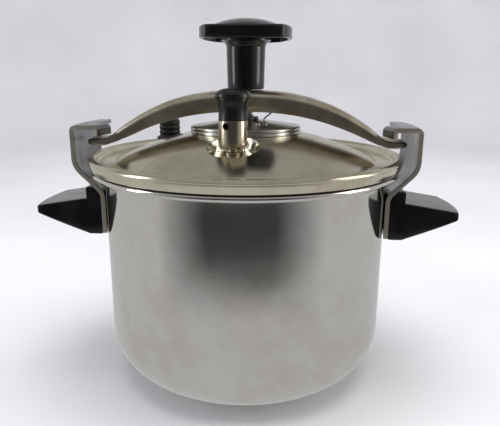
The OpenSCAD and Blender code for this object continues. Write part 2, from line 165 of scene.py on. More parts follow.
def interpolate(table, x):
    """Value at x in a table of (x, value) pairs, in order of x."""
    if x <= table[0][0]:
        return table[0][1]
    for (x0, v0), (x1, v1) in zip(table, table[1:]):
        if x <= x1:
            return v0 + (v1 - v0) * (x - x0) / (x1 - x0)
    return table[-1][1]


def band(first, second):
    """Faces between two rings of vertex numbers, either of which may be a single point."""
    if len(first) == 1 and len(second) == 1:
        return []
    count = max(len(first), len(second))
    faces = []
    for i in range(count):
        j = (i + 1) % count
        corners = [first[i % len(first)], first[j % len(first)],
                   second[j % len(second)], second[i % len(second)]]
        faces.append(list(dict.fromkeys(corners)))
    return faces


def mesh_object(name, vertices, faces, at=(0, 0), sharp=32):
    """An object from millimetre vertices, smooth but for edges over the sharp angle."""
    mesh = bpy.data.meshes.new(name)
    mesh.from_pydata([Vector(v) * MM for v in vertices], [], faces)
    work = bmesh.new()
    work.from_mesh(mesh)
    bmesh.ops.remove_doubles(work, verts=work.verts, dist=1e-6)
    bmesh.ops.dissolve_degenerate(work, edges=work.edges, dist=1e-7)
    bmesh.ops.recalc_face_normals(work, faces=work.faces)
    work.to_mesh(mesh)
    work.free()
    smooth(mesh, sharp)
    thing = bpy.data.objects.new(name, mesh)
    thing.location = (at[0] * MM, at[1] * MM, 0)
    bpy.context.scene.collection.objects.link(thing)
    return thing


def smooth(mesh, sharp=32):
    mesh.polygons.foreach_set("use_smooth", [True] * len(mesh.polygons))
    mesh.set_sharp_from_angle(angle=math.radians(sharp))


def lathe(name, outline, at=(0, 0), segments=128, closed=True, sharp=32):
    """A turned piece: its outline is a list of (radius, z)."""
    vertices, rings = [], []
    for radius, z in outline:
        first = len(vertices)
        if radius < 1e-6:
            vertices.append((0, 0, z))
        else:
            vertices += [(radius * math.cos(2 * math.pi * i / segments),
                          radius * math.sin(2 * math.pi * i / segments), z)
                         for i in range(segments)]
        rings.append(list(range(first, len(vertices))))
    pairs = list(zip(rings, rings[1:]))
    if closed:
        pairs.append((rings[-1], rings[0]))
    faces = [face for pair in pairs for face in band(*pair)]
    return mesh_object(name, vertices, faces, at, sharp)


def loft(name, sections, at=(0, 0), sharp=32, capped=True):
    """A skin over closed sections with equal numbers of points."""
    count = len(sections[0])
    vertices = [p for section in sections for p in section]
    rings = [list(range(i * count, (i + 1) * count)) for i in range(len(sections))]
    faces = [face for pair in zip(rings, rings[1:]) for face in band(*pair)]
    if capped:
        faces += [rings[0], rings[-1]]
    return mesh_object(name, vertices, faces, at, sharp)


def apply_modifiers(thing):
    graph = bpy.context.evaluated_depsgraph_get()
    graph.update()
    mesh = bpy.data.meshes.new_from_object(thing.evaluated_get(graph))
    thing.modifiers.clear()
    thing.data = mesh
    return thing


def bevel(thing, width, segments=2, angle=35):
    rounding = thing.modifiers.new("edges", "BEVEL")
    rounding.width = width * MM
    rounding.segments = segments
    rounding.limit_method = "ANGLE"
    rounding.angle_limit = math.radians(angle)
    rounding.harden_normals = False
    apply_modifiers(thing)
    smooth(thing.data, 40)
    return thing


def cut(thing, tool):
    """Takes the tool's shape out of a piece, and removes the tool."""
    opening = thing.modifiers.new("cut", "BOOLEAN")
    opening.operation = "DIFFERENCE"
    opening.solver = "EXACT"
    opening.object = tool
    bpy.context.view_layer.update()
    apply_modifiers(thing)
    bpy.data.objects.remove(tool)
    smooth(thing.data)
    return thing


def dress(thing, body, slot, material, *nodes):
    """Gives a piece its material and its body, and hides the CAD nodes that it stands for. The slot is not
    used.
    """
    thing.data.materials.clear()
    thing.data.materials.append(material)
    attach(thing, body)
    if nodes:
        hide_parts(*nodes)
    return thing


# ---------- material tools ----------

def node(tree, kind, inputs=None, **settings):
    """A shader node with its settings and inputs; an input is a value or another node's output."""
    made = tree.nodes.new(kind)
    for key, value in settings.items():
        setattr(made, key, value)
    for key, value in (inputs or {}).items():
        if isinstance(value, bpy.types.NodeSocket):
            tree.links.new(value, made.inputs[key])
        else:
            made.inputs[key].default_value = value
    return made


def maths(tree, operation, a, b=0.0, clamp=False):
    return node(tree, "ShaderNodeMath", {0: a, 1: b}, operation=operation, use_clamp=clamp).outputs[0]


def ramp(tree, value, stops):
    """A colour ramp from a list of (position, colour)."""
    made = node(tree, "ShaderNodeValToRGB", {"Fac": value})
    elements = made.color_ramp.elements
    while len(elements) < len(stops):
        elements.new(0.5)
    for element, (position, colour) in zip(elements, stops):
        element.position = position
        element.color = (*colour, 1) if len(colour) == 3 else colour
    return made.outputs["Color"]


def remap(tree, value, low, high, to_low, to_high):
    made = node(tree, "ShaderNodeMapRange", {"Value": value, "From Min": low, "From Max": high,
                                             "To Min": to_low, "To Max": to_high})
    return made.outputs["Result"]


def noise(tree, vector, scale, detail=3.0, roughness=0.55):
    made = node(tree, "ShaderNodeTexNoise", {"Vector": vector, "Scale": scale, "Detail": detail,
                                             "Roughness": roughness})
    return made.outputs["Fac"]


def stretched(tree, scale, turn=(0, 0, 0)):
    """Object coordinates, turned and scaled, for streaks."""
    coordinates = node(tree, "ShaderNodeTexCoord").outputs["Object"]
    made = node(tree, "ShaderNodeMapping", {"Vector": coordinates, "Scale": scale, "Rotation": turn})
    return made.outputs["Vector"]


def around(tree, along, across):
    """Coordinates that run around the object's own Z axis: turning lines and brushing."""
    coordinates = node(tree, "ShaderNodeTexCoord").outputs["Object"]
    split = node(tree, "ShaderNodeSeparateXYZ", {0: coordinates})
    x, y, z = split.outputs
    angle = maths(tree, "ARCTAN2", y, x)
    radius = maths(tree, "SQRT", maths(tree, "ADD", maths(tree, "MULTIPLY", x, x),
                                       maths(tree, "MULTIPLY", y, y)))
    joined = node(tree, "ShaderNodeCombineXYZ", {
        0: maths(tree, "MULTIPLY", angle, along),
        1: maths(tree, "MULTIPLY", radius, across),
        2: maths(tree, "MULTIPLY", z, across),
    })
    return joined.outputs[0]


def principled(name, **inputs):
    """A new material, its node tree and its shader, with constant inputs set on the shader."""
    material = bpy.data.materials.new(name)
    material.use_nodes = True
    tree = material.node_tree
    shader = tree.nodes["Principled BSDF"]
    for key, value in inputs.items():
        shader.inputs[key.replace("_", " ")].default_value = value
    return material, tree, shader


def link_bump(tree, shader, height, distance, strength=1.0, below=None):
    inputs = {"Height": height, "Distance": distance, "Strength": strength}
    if below:
        inputs["Normal"] = below
    made = node(tree, "ShaderNodeBump", inputs)
    tree.links.new(made.outputs[0], shader.inputs["Normal"])
    return made.outputs[0]


def blend_colours(tree, factor, first, second):
    made = node(tree, "ShaderNodeMix", data_type="RGBA")
    for key, value in ((0, factor), (6, first), (7, second)):
        if isinstance(value, bpy.types.NodeSocket):
            tree.links.new(value, made.inputs[key])
        else:
            made.inputs[key].default_value = value if key == 0 else (*value, 1)
    return made.outputs[2]


# ---------- materials ----------

def steel(name, clean, stained, low, high, lines=1.0, turned=True, waves=0.00012, grain=1.0):
    """Stainless steel: faint lines, haze patches, stains, scratches and the waves of pressed sheet.

    clean and stained are colours, low and high the range of roughness."""
    material, tree, shader = principled(name, Metallic=1.0)
    plain = node(tree, "ShaderNodeTexCoord").outputs["Object"]
    if turned:
        line_space = around(tree, 5.0, 2600.0)
        shader.inputs["Anisotropic"].default_value = 0.45
        shader.inputs["Anisotropic Rotation"].default_value = 0.25
        tangent = node(tree, "ShaderNodeTangent", direction_type="RADIAL", axis="Z")
        tree.links.new(tangent.outputs[0], shader.inputs["Tangent"])
    else:
        line_space = stretched(tree, (60, 60, 1800))
    fine_lines = noise(tree, line_space, 1.0, 2.0)
    patches = noise(tree, plain, 14.0, 4.0)
    blotches = noise(tree, plain, 46.0, 5.0, 0.6)
    scratches = noise(tree, stretched(tree, (30, 900, 300), (0.3, 0.5, 0.9)), 1.0, 2.0)
    scratch = remap(tree, scratches, 0.66, 0.72, 0.0, 1.0)
    stain = remap(tree, maths(tree, "MULTIPLY", patches, blotches), 0.2, 0.36, 0.0, 1.0)
    tree.links.new(blend_colours(tree, stain, clean, stained), shader.inputs["Base Color"])
    rough = remap(tree, patches, 0.35, 0.68, low, high)
    rough = maths(tree, "ADD", rough, maths(tree, "MULTIPLY", fine_lines, 0.05 * lines))
    rough = maths(tree, "ADD", rough, maths(tree, "MULTIPLY", scratch, 0.08 * grain))
    tree.links.new(rough, shader.inputs["Roughness"])
    height = maths(tree, "ADD", maths(tree, "MULTIPLY", fine_lines, 0.5 * lines),
                   maths(tree, "MULTIPLY", scratch, -0.4 * grain))
    sheet_waves = link_bump(tree, shader, noise(tree, plain, 16.0, 1.0), waves * 8)
    link_bump(tree, shader, height, 0.000012, 1.0, sheet_waves)
    return material, tree, shader, rough


def pot_steel():
    """The pot: polished above, hazy below, and brushed around."""
    material, tree, shader, rough = steel(
        "polished_steel", (0.70, 0.685, 0.65), (0.64, 0.61, 0.55), 0.035, 0.075, lines=0.7, grain=0.25)
    z = node(tree, "ShaderNodeSeparateXYZ",
             {0: node(tree, "ShaderNodeTexCoord").outputs["Object"]}).outputs[2]
    haze = remap(tree, z, 0.095, 0.05, 0.0, 0.06)
    total = maths(tree, "ADD", rough, haze)
    tree.links.new(total, shader.inputs["Roughness"])
    return material


def lid_steel():
    return steel("lid_steel", (0.69, 0.65, 0.52), (0.56, 0.50, 0.36), 0.13, 0.24, lines=0.6)[0]


def disc_steel():
    return steel("disc_steel", (0.64, 0.63, 0.60), (0.52, 0.50, 0.45), 0.16, 0.26)[0]


def bracket_steel():
    """The bracket's strip: greyed faces, and paler matt cut edges along its sides."""
    material, tree, shader, rough = steel(
        "bracket_steel", (0.29, 0.30, 0.32), (0.17, 0.17, 0.175), 0.14, 0.26, turned=False, waves=0.00002)
    normal = node(tree, "ShaderNodeTexCoord").outputs["Normal"]
    y = node(tree, "ShaderNodeSeparateXYZ", {0: normal}).outputs[1]
    cut_edge = remap(tree, maths(tree, "ABSOLUTE", y), 0.8, 0.95, 0.0, 1.0)
    face = shader.inputs["Base Color"].links[0].from_socket
    tree.links.new(blend_colours(tree, cut_edge, face, (0.52, 0.47, 0.41)), shader.inputs["Base Color"])
    rough = maths(tree, "ADD", rough, maths(tree, "MULTIPLY", cut_edge, 0.3))
    tree.links.new(rough, shader.inputs["Roughness"])
    return material


def bow_steel():
    return steel("bow_steel", (0.72, 0.66, 0.53), (0.48, 0.40, 0.28), 0.24, 0.38,
                 turned=False, waves=0.00003)[0]


def small_steel():
    return steel("fastener_steel", (0.62, 0.61, 0.59), (0.45, 0.43, 0.40), 0.18, 0.32)[0]


def dark_steel():
    return steel("dark_wire", (0.22, 0.22, 0.22), (0.12, 0.11, 0.10), 0.3, 0.5)[0]


def nickel():
    return steel("nickel", (0.68, 0.60, 0.46), (0.50, 0.40, 0.26), 0.1, 0.2, waves=0.00001)[0]


def aluminium():
    return steel("aluminium", (0.78, 0.78, 0.79), (0.66, 0.66, 0.67), 0.25, 0.4)[0]


def brass():
    return steel("brass", (0.74, 0.57, 0.28), (0.5, 0.36, 0.16), 0.16, 0.34, waves=0.00001)[0]


def plastic(name, colour, low, high, speckle, coat=0.0):
    """Moulded plastic with a faint skin texture, rubbed patches and fine scratches."""
    material, tree, shader = principled(name, Coat_Weight=coat, Coat_Roughness=0.06)
    plain = node(tree, "ShaderNodeTexCoord").outputs["Object"]
    rubbed = noise(tree, plain, 60.0, 4.0)
    skin = noise(tree, plain, 1400.0, 2.0)
    scratches = noise(tree, stretched(tree, (700, 60, 200), (0.4, 0.2, 0.6)), 1.0, 2.0)
    scratch = remap(tree, scratches, 0.68, 0.74, 0.0, 1.0)
    worn = tuple(min(1.0, c * 1.9 + 0.004) for c in colour)
    tree.links.new(blend_colours(tree, remap(tree, rubbed, 0.45, 0.75, 0.0, 1.0), colour, worn),
                   shader.inputs["Base Color"])
    rough = remap(tree, rubbed, 0.35, 0.7, low, high)
    rough = maths(tree, "ADD", rough, maths(tree, "MULTIPLY", scratch, 0.12))
    tree.links.new(rough, shader.inputs["Roughness"])
    link_bump(tree, shader, maths(tree, "SUBTRACT", skin, scratch), speckle)
    return material


def phenolic():
    return plastic("phenolic", (0.003, 0.003, 0.0035), 0.12, 0.24, 0.000005, coat=0.15)


def satin_black():
    return plastic("satin_black", (0.005, 0.005, 0.0055), 0.22, 0.34, 0.00001)


def soft_black():
    return plastic("soft_black", (0.012, 0.012, 0.011), 0.5, 0.68, 0.00003)


def rubber():
    return plastic("rubber", (0.02, 0.02, 0.02), 0.55, 0.7, 0.00002)


MATERIALS = {
    "polished_steel": pot_steel(), "lid_steel": lid_steel(), "disc_steel": disc_steel(),
    "bracket_steel": bracket_steel(), "bow_steel": bow_steel(), "fastener_steel": small_steel(),
    "dark_wire": dark_steel(), "nickel": nickel(), "aluminium": aluminium(), "brass": brass(),
    "phenolic": phenolic(), "satin_black": satin_black(), "soft_black": soft_black(),
    "rubber": rubber(),
}


def dress_as(thing, body, slot, *nodes, look=None):
    return dress(thing, body, slot, MATERIALS[look or slot], *nodes)


# ---------- pot ----------

def pot_body():
    neck = RIM_Z - 2.6
    roll = 2.2
    inside = POT_R - POT_WALL
    floor_r = POT_R - CORNER_R
    middle_z = FLOOR_Z + CORNER_R
    outline = [(0, FLOOR_Z)]
    outline += arc((floor_r, middle_z), CORNER_R, -90, 0, 24)
    outline += [(POT_R, z) for z in (70, 100, 130, 150)]
    outline += arc((POT_R + 2.8, neck - 2.8), 2.8, 180, 90, 8)
    outline += arc((RIM_R - roll, RIM_Z - roll), roll, -100, 90, 14)
    outline += arc((inside + 4, RIM_Z - 4), 4, 90, 180, 8)
    outline += [(inside, z) for z in (150, 130, 100, 70)]
    outline += arc((floor_r, middle_z), CORNER_R - POT_WALL, 0, -90, 24)
    outline += [(0, FLOOR_Z + POT_WALL)]
    dress_as(lathe("pot_body_mesh", outline, segments=192, closed=False), "pot",
             "polished_steel", "pot_body")


def base_cap():
    radius = corner("base_cap", 1).x
    high = corner("base_cap", 1).z
    outline = rounded([
        (0, 0), (radius * 0.28, 0), (radius * 0.3, 0.35, 0.5), (radius * 0.32, 0.35, 0.5),
        (radius * 0.34, 0), (radius, 0, 3.4), (radius, high, 0.25), (radius - 1.1, high - 0.2),
        (radius - 1.1, 1.1, 2.4), (0, 1.1)])
    dress_as(lathe("base_cap_mesh", outline, segments=160), "pot", "polished_steel", "base_cap")


# The bracket strip's outer face at Y = 0, from its lowest edge to the end of its top bend
BEND_LOW, BEND_HIGH, BEND_TOP = 9.0, 17.0, 4.5
BEND_Z = 144.1
SLOPE = WALL_X - STRIP_OUT - (BEND_LOW + BEND_HIGH) * (1 - math.cos(math.radians(45)))
BEND_END = BEND_Z + (BEND_LOW + BEND_HIGH) * math.sin(math.radians(45)) + SLOPE
NOTCH_LINE = -11.0           # the hook's lip is in front of this line
NOTCH_X = 118.0
LIP_IN, LIP_OUT = 105.0, 109.5
LIP_Z = 192.2
HOOK_FOLD = 3.5              # outer radius of the fold above the lip


def strip_profile():
    profile = [(STRIP_OUT, STRIP_LOW), (STRIP_OUT, 125), (STRIP_OUT, 135)]
    profile += arc((STRIP_OUT + BEND_LOW, BEND_Z), BEND_LOW, 180, 135, 7)
    profile += arc((WALL_X - BEND_HIGH, BEND_END), BEND_HIGH, -45, 0, 9)
    profile += [(WALL_X, BEND_END + 8), (WALL_X, HOOK_Z - BEND_TOP - 6)]
    profile += arc((WALL_X - BEND_TOP, HOOK_Z - BEND_TOP), BEND_TOP, 0, 90, 7)
    return profile


def saddle(x, y):
    """X at a distance y from the middle, for a face that has x there and curves with the pot."""
    return SADDLE_X + math.sqrt((x - SADDLE_X) ** 2 - y * y)


def hook_edge(y):
    """Plan position of the hook's inner edge."""
    half = corner("bracket_right", 1).y
    return LIP_IN + (LIP_OUT - LIP_IN) * (NOTCH_LINE - y) / (half + NOTCH_LINE)


def bracket(side):
    """Hook bracket: one sheet bent in a vertical plane and curved with the pot."""
    half = corner("bracket_right", 1).y
    columns = [-half + (half + NOTCH_LINE) * i / 6 for i in range(6)]
    columns += [NOTCH_LINE + (half - NOTCH_LINE) * i / 13 for i in range(14)]
    rows = []
    for x, z in strip_profile():
        rows.append([(saddle(x, y), y, z) for y in columns])
    last = rows[-1]
    for share in (0.35, 0.7, 1.0):
        rows.append([(p[0] + (NOTCH_X - p[0]) * share, p[1], HOOK_Z) for p in last])
    notch_row = len(rows) - 1
    for share in (0.5, 1.0):
        rows.append([(NOTCH_X + (hook_edge(y) + HOOK_FOLD - NOTCH_X) * share, y, HOOK_Z)
                     for y in columns])
    for a in (22.5, 45, 67.5, 90):
        turn = math.radians(a)
        rows.append([(hook_edge(y) + HOOK_FOLD * (1 - math.sin(turn)), y,
                      HOOK_Z - HOOK_FOLD * (1 - math.cos(turn))) for y in columns])
    rows.append([(hook_edge(y), y, LIP_Z) for y in columns])
    width = len(columns)
    faces = []
    for r in range(len(rows) - 1):
        for c in range(width - 1):
            if r >= notch_row and columns[c + 1] > NOTCH_LINE + 0.01:
                continue
            a = r * width + c
            faces.append([a, a + 1, a + width + 1, a + width])
    vertices = [(side * x, y, z) for row in rows for x, y, z in row]
    name = "bracket_right" if side > 0 else "bracket_left"
    thing = mesh_object(name + "_mesh", vertices, faces)
    work = bmesh.new()
    work.from_mesh(thing.data)
    bmesh.ops.delete(work, geom=[v for v in work.verts if not v.link_faces], context="VERTS")
    upright = max(work.faces, key=lambda f: f.calc_area())
    if upright.normal.x * side < 0:
        bmesh.ops.reverse_faces(work, faces=work.faces)
    work.to_mesh(thing.data)
    work.free()
    sheet = thing.modifiers.new("sheet", "SOLIDIFY")
    sheet.thickness = STRIP_T * MM
    sheet.offset = -1
    sheet.use_even_offset = True
    apply_modifiers(thing)
    bevel(thing, 0.6, 3, 50)
    dress_as(thing, "pot", "bracket_steel", name)


def handle_surface(y, z):
    """X of the bracket's outer face at a point beside it."""
    slope_low = (STRIP_OUT + BEND_LOW * (1 - math.cos(math.radians(45))),
                 BEND_Z + BEND_LOW * math.sin(math.radians(45)))
    if z <= BEND_Z:
        x = STRIP_OUT
    elif z <= slope_low[1]:
        x = STRIP_OUT + BEND_LOW - math.sqrt(BEND_LOW ** 2 - (z - BEND_Z) ** 2)
    else:
        x = slope_low[0] + (z - slope_low[1])
    return saddle(x, y)


def handle(side):
    """Moulded handle: a block on the bracket, then a wedge with a flat top and a bowed end."""
    low_root = corner("handle_right", 0).z
    block_top = corner("handle_right", 1).z
    nose, edge = 1.3, 1.0
    end_r = 96.0
    top = [(HANDLE_ROOT, 144.0), (HANDLE_TIP, 136.75)]
    low = [(HANDLE_ROOT - 1, low_root), (134.5, 120.2), (149, 125.8), (159.5, 130.3), (HANDLE_TIP, 133.3)]
    flats = [1 - i / 6 for i in range(13)]
    sides = (0.75, 0.5, 0.25)
    vertices, faces, rings = [], [], []

    def section(half, place, edge):
        """Closed section: a place is found from y, a share of the height, and a rise from there."""
        inner = half - edge
        points = [(inner * k, 1, 0) for k in flats]
        points += [(y, 1, rise) for y, rise in arc((-inner, -edge), edge, 112, 180, 4)]
        points += [(-half, share, 0) for share in sides]
        points += [(y, 0, rise) for y, rise in arc((-inner, edge), edge, 180, 248, 4)]
        points += [(-inner * k, 0, 0) for k in flats]
        points += [(y, 0, rise) for y, rise in arc((inner, edge), edge, -68, 0, 4)]
        points += [(half, share, 0) for share in reversed(sides)]
        points += [(y, 1, rise) for y, rise in arc((inner, -edge), edge, 0, 68, 4)]
        first = len(vertices)
        vertices.extend(place(*point) for point in points)
        rings.append(list(range(first, len(vertices))))

    def cap(half, place, edge):
        """Closes the last section with a grid that follows its curve."""
        ring = rings[-1]
        rows = [ring[:13]]
        for share in sides:
            first = len(vertices)
            vertices.extend(place((half - edge) * k, share, 0) for k in flats)
            rows.append(list(range(first, len(vertices))))
        rows.append(ring[38:25:-1])
        for upper, lower in zip(rows, rows[1:]):
            faces.extend([upper[i], upper[i + 1], lower[i + 1], lower[i]] for i in range(12))
        faces.append(ring[12:27] + [row[12] for row in rows[3:0:-1]])
        faces.append(ring[38:] + [row[0] for row in rows[:4]])

    def on_block(share, top_z, inset=0.0):
        def place(y, part, rise):
            z = low_root + inset + part * (top_z - low_root - 2 * inset) + rise
            return handle_surface(y, z) * (1 - share) + HANDLE_ROOT * share, y, z
        return HANDLE_HALF - inset, place, edge

    def on_wedge(share, turn=0.0):
        inset = nose * (1 - math.cos(math.radians(turn)))
        ahead = nose * math.sin(math.radians(turn))

        def place(y, part, rise):
            end = HANDLE_TIP - end_r + math.sqrt(end_r ** 2 - y * y) - nose
            x = HANDLE_ROOT + (end - HANDLE_ROOT) * share + ahead
            low_z, top_z = interpolate(low, x) + inset, interpolate(top, x) - inset
            return x, y, low_z + part * (top_z - low_z) + rise
        return HANDLE_HALF - inset, place, max(0.25, edge - inset)

    root = on_block(0.004, block_top, 0.5)
    section(*root)
    cap(*root)
    for share, inset in ((0.08, 0.1), (0.2, 0.0), (0.6, 0.0), (0.86, 0.0), (0.95, 0.15)):
        section(*on_block(share, block_top, inset))
    for drop in (0.8, 4.5, 8.6):
        section(*on_block(1.0, block_top - drop))
    for share in (0.015, 0.05, 0.15, 0.28, 0.3, 0.45, 0.6, 0.62, 0.75, 0.86, 0.88, 1.0):
        section(*on_wedge(share))
    for turn in (22, 45, 68):
        section(*on_wedge(1.0, turn))
    tip = on_wedge(1.0, 90)
    section(*tip)
    cap(*tip)
    faces += [face for pair in zip(rings, rings[1:]) for face in band(*pair)]
    vertices = [(side * x, y, z) for x, y, z in vertices]
    name = "handle_right" if side > 0 else "handle_left"
    thing = mesh_object(name + "_mesh", vertices, faces, sharp=48)
    for y in (-14, 14):
        pocket = lathe("pocket", [(0, 123), (6, 123), (6, 190), (0, 190)], segments=40)
        pocket.data.transform(Matrix.Rotation(math.radians(90 * side), 4, "Y"))
        pocket.data.transform(Matrix.Translation(Vector((0, y, 121)) * MM))
        cut(thing, pocket)
    dress_as(thing, "pot", "phenolic", name)


# ---------- lid ----------

def cone_z(radius):
    """Outer height of the lid's flat top and cone."""
    past = math.sqrt(max(0.0, radius - FLAT_R) ** 2 + 9) - 3 if radius > FLAT_R - 6 else 0
    return LID_TOP - 0.205 * past - 0.00205 * max(0.0, radius - FLAT_R) ** 2


def padded(x, y, z):
    """Height of the lid's sheet once its two flat valve pads are pressed in."""
    for (cx, cy), radius, level in ((REGULATOR, 17.0, PAD_Z), (SAFETY, 12.2, BOOT_Z)):
        distance = math.hypot(x - cx, y - cy)
        share = 1 - smoothstep(radius, radius + 1.2, distance)
        z = z + (level - z) * share
    return z


def lid_angles():
    """Directions of the lid's mesh, close together beside the two pads."""
    angles = []
    a = -180.0
    while a < 180 - 1e-6:
        angles.append(a)
        near_regulator = abs(a - math.degrees(math.atan2(REGULATOR[1], REGULATOR[0]))) < 20
        near_safety = abs(a - math.degrees(math.atan2(SAFETY[1], SAFETY[0]))) < 11
        a += 0.5 if near_regulator or near_safety else 2.0
    return [math.radians(a) for a in angles]


def lid_shell():
    bead_r, bead_z = 3.4, 174.8
    bead_x = LID_R - bead_r
    in_r = bead_r - LID_T
    top = [(r, cone_z(r)) for r in [0.01, 12, 24, 32, 34, 36] + [37.8 + 0.8 * i for i in range(77)]]
    lip = rounded([(99.4, cone_z(99.4)), (CONE_R + 0.4, CHANNEL_Z, 3.5),
                   (bead_x - bead_r - 1.4, CHANNEL_Z, 1.4), (bead_x - bead_r, bead_z)])[1:-1]
    lip += arc((bead_x, bead_z), bead_r, 180, 14, 18)
    lip += [(LID_R - 0.4, 175.3), (LID_R - 0.42, 174.9), (LID_R - 0.5, 173.6), (LID_R - 0.9, 172),
            (LID_R - 1.5, 170.4)]
    lip += arc((LID_R - 2.75, SKIRT_Z + LID_T / 2), LID_T / 2, 10, -170, 7)
    lip += [(LID_R - 2.6, 171.2), (LID_R - 1.8, 173.2)]
    lip += arc((bead_x, bead_z), in_r, 0, 180, 10)
    lip += [(bead_x - in_r, CHANNEL_Z - LID_T + 0.4), (bead_x - in_r - 0.4, CHANNEL_Z - LID_T),
            (CONE_R - 0.5, CHANNEL_Z - LID_T)]
    profile = top + lip + [(r, z - LID_T) for r, z in reversed(top)]
    turns = lid_angles()
    vertices, rings = [], []
    for index, (radius, z) in enumerate(profile):
        first = len(vertices)
        on_cone = index < len(top) or index >= len(profile) - len(top)
        drop = LID_T if index >= len(top) else 0
        for a in turns:
            x, y = radius * math.cos(a), radius * math.sin(a)
            height = padded(x, y, z + drop) - drop if on_cone and radius > FLAT_R else z
            vertices.append((x, y, height))
        rings.append(list(range(first, len(vertices))))
    faces = [face for pair in zip(rings, rings[1:]) for face in band(*pair)]
    thing = mesh_object("lid_shell_mesh", vertices, faces, sharp=40)
    dress_as(thing, "lid", "lid_steel", "lid_shell")


def lid_gasket():
    low, high = corner("lid_gasket", 0).z, CHANNEL_Z - LID_T
    outer = LID_R - 3.8
    outline = rounded([
        (107, low, 0.8), (109.5, low, 0.5), (110.2, low + 0.6, 0.4), (111, low, 0.5),
        (outer, low, 0.9), (outer, high, 0.3), (118.7, high + 1.6, 0.5), (116.7, high + 1.6, 0.5),
        (116.5, high), (107, high, 0.8)])
    dress_as(lathe("lid_gasket_mesh", outline, segments=160), "lid", "rubber", "lid_gasket")


def steam_nozzle():
    low, high = corner("steam_nozzle", 0).z, corner("steam_nozzle", 1).z
    outline = rounded([
        (1.5, low), (4.6, low, 0.3), (4.9, low + 1, 0.3), (4.9, PAD_Z), (6, PAD_Z, 0.2),
        (6, PAD_Z + 1.2, 0.4), (3.9, PAD_Z + 1.6, 0.3), (3.9, high - 1.5, 0.8), (2.6, high, 0.4),
        (1.5, high, 0.3)])
    dress_as(lathe("steam_nozzle_mesh", outline, REGULATOR, 64), "lid", "brass", "steam_nozzle",
             look="nickel")


def safety_valve():
    base = corner("safety_cap", 0).z
    top = corner("safety_cap", 1).z
    outline = [(6.55, base), (11.3, base, 0.4), (11.5, base + 1.2, 0.6), (8.5, base + 3.4, 1.2)]
    for rib in (5.8, 9.8, 13.8):
        outline += [(8.55, base + rib - 1.8, 0.9), (9.2, base + rib, 1.2), (8.55, base + rib + 1.7, 0.9)]
    outline += [(8.9, top - 2, 1.0), (7.9, top - 0.5, 1.0), (2.2, top, 0.4), (1.5, top - 0.6, 0.3),
                (1.5, 197.2), (6.55, 196.6)]
    dress_as(lathe("safety_cap_mesh", rounded(outline), SAFETY, 72), "lid", "soft_black", "safety_cap")
    low, high = corner("safety_washer", 0).z, corner("safety_washer", 1).z
    flat = rounded([(6.1, low), (12, low, 0.3), (12, high, 0.35), (6.1, high)])
    dress_as(lathe("safety_washer_mesh", flat, SAFETY, 72), "lid", "fastener_steel", "safety_washer")


# ---------- steam regulator ----------

def regulator():
    low = corner("regulator_weight", 0).z
    bottom = low + 3
    grip_low = corner("regulator_cap", 0).z
    grip_top = corner("regulator_cap", 1).z
    radius = (corner("regulator_weight", 1).x - corner("regulator_weight", 0).x) / 2
    outline = rounded([
        (4.3, low, 0.2), (5.1, low, 0.3), (5.1, bottom - 0.6, 0.3), (radius - 1.1, bottom - 0.4, 0.3),
        (radius, bottom + 0.7, 0.4), (radius, grip_low - 0.1, 0.15), (4, grip_low - 0.1), (4, grip_low + 8),
        (1.55, grip_low + 8), (1.55, grip_low - 1.6), (6.5, grip_low - 1.6, 0.4), (6.5, low + 9.8, 0.4),
        (4.3, low + 9.8)])
    thing = lathe("regulator_weight_mesh", outline, REGULATOR, 96)
    drill = lathe("drill", [(0, 2), (2.1, 2), (2.1, radius - 0.6), (2.6, radius - 0.05),
                            (2.6, radius + 4), (0, radius + 4)], segments=48)
    drill.data.transform(Matrix.Rotation(math.radians(90), 4, "X"))
    drill.data.transform(Matrix.Rotation(math.radians(-25), 4, "Z"))
    drill.location = (REGULATOR[0] * MM, REGULATOR[1] * MM, (grip_low - 3.7) * MM)
    cut(thing, drill)
    dress_as(thing, "regulator", "nickel", "regulator_weight")
    half = (corner("regulator_cap", 1).x - corner("regulator_cap", 0).x) / 2
    rim_z = grip_top - 5.6
    side = spline([(9.85, grip_low + 0.4), (9.75, grip_low + 3), (9.85, grip_low + 6.5),
                   (10.3, grip_low + 10), (11.1, grip_low + 13), (half - 0.15, rim_z - 0.6)], 5)
    dome = [(half * math.sin(math.radians(a)), rim_z + 0.3 + 5.3 * math.cos(math.radians(a)) ** 0.85)
            for a in (84, 78, 70, 60, 50, 40, 30, 20, 10)]
    outline = [(4.05, grip_low), (9.5, grip_low)] + side
    outline += [(half, rim_z - 0.2), (half - 0.1, rim_z + 0.25)] + dome
    outline += [(0, grip_top), (0, grip_low + 8.2), (4.05, grip_low + 8.2)]
    dress_as(lathe("regulator_cap_mesh", outline, REGULATOR, 96), "regulator", "satin_black", "regulator_cap")


# ---------- bow ----------

CROWN_X = 97.0


def bow_upper(x):
    x = abs(x)
    if x <= CROWN_X:
        return BOW_TOP - 37.4 * (x / 108.4) ** 2.5
    start = (CROWN_X, BOW_TOP - 37.4 * (CROWN_X / 108.4) ** 2.5)
    tail = spline([(90, bow_upper(90)), start, (104.4, 191.6), (109, 189.8), (115, 188.9),
                   (BOW_HALF, 188.4)], 8)
    return interpolate(tail, x)


def bow_lower(x):
    x = abs(x)
    if x <= CROWN_X:
        return bow_upper(x) - 16 + 6.2 * (x / CROWN_X) ** 4
    tail = spline([(90, bow_lower(90)), (CROWN_X, bow_lower(CROWN_X)), (103.5, 185.3), (109, 183.6),
                   (115, 183.3), (BOW_HALF, 184.4)], 8)
    return interpolate(tail, x)


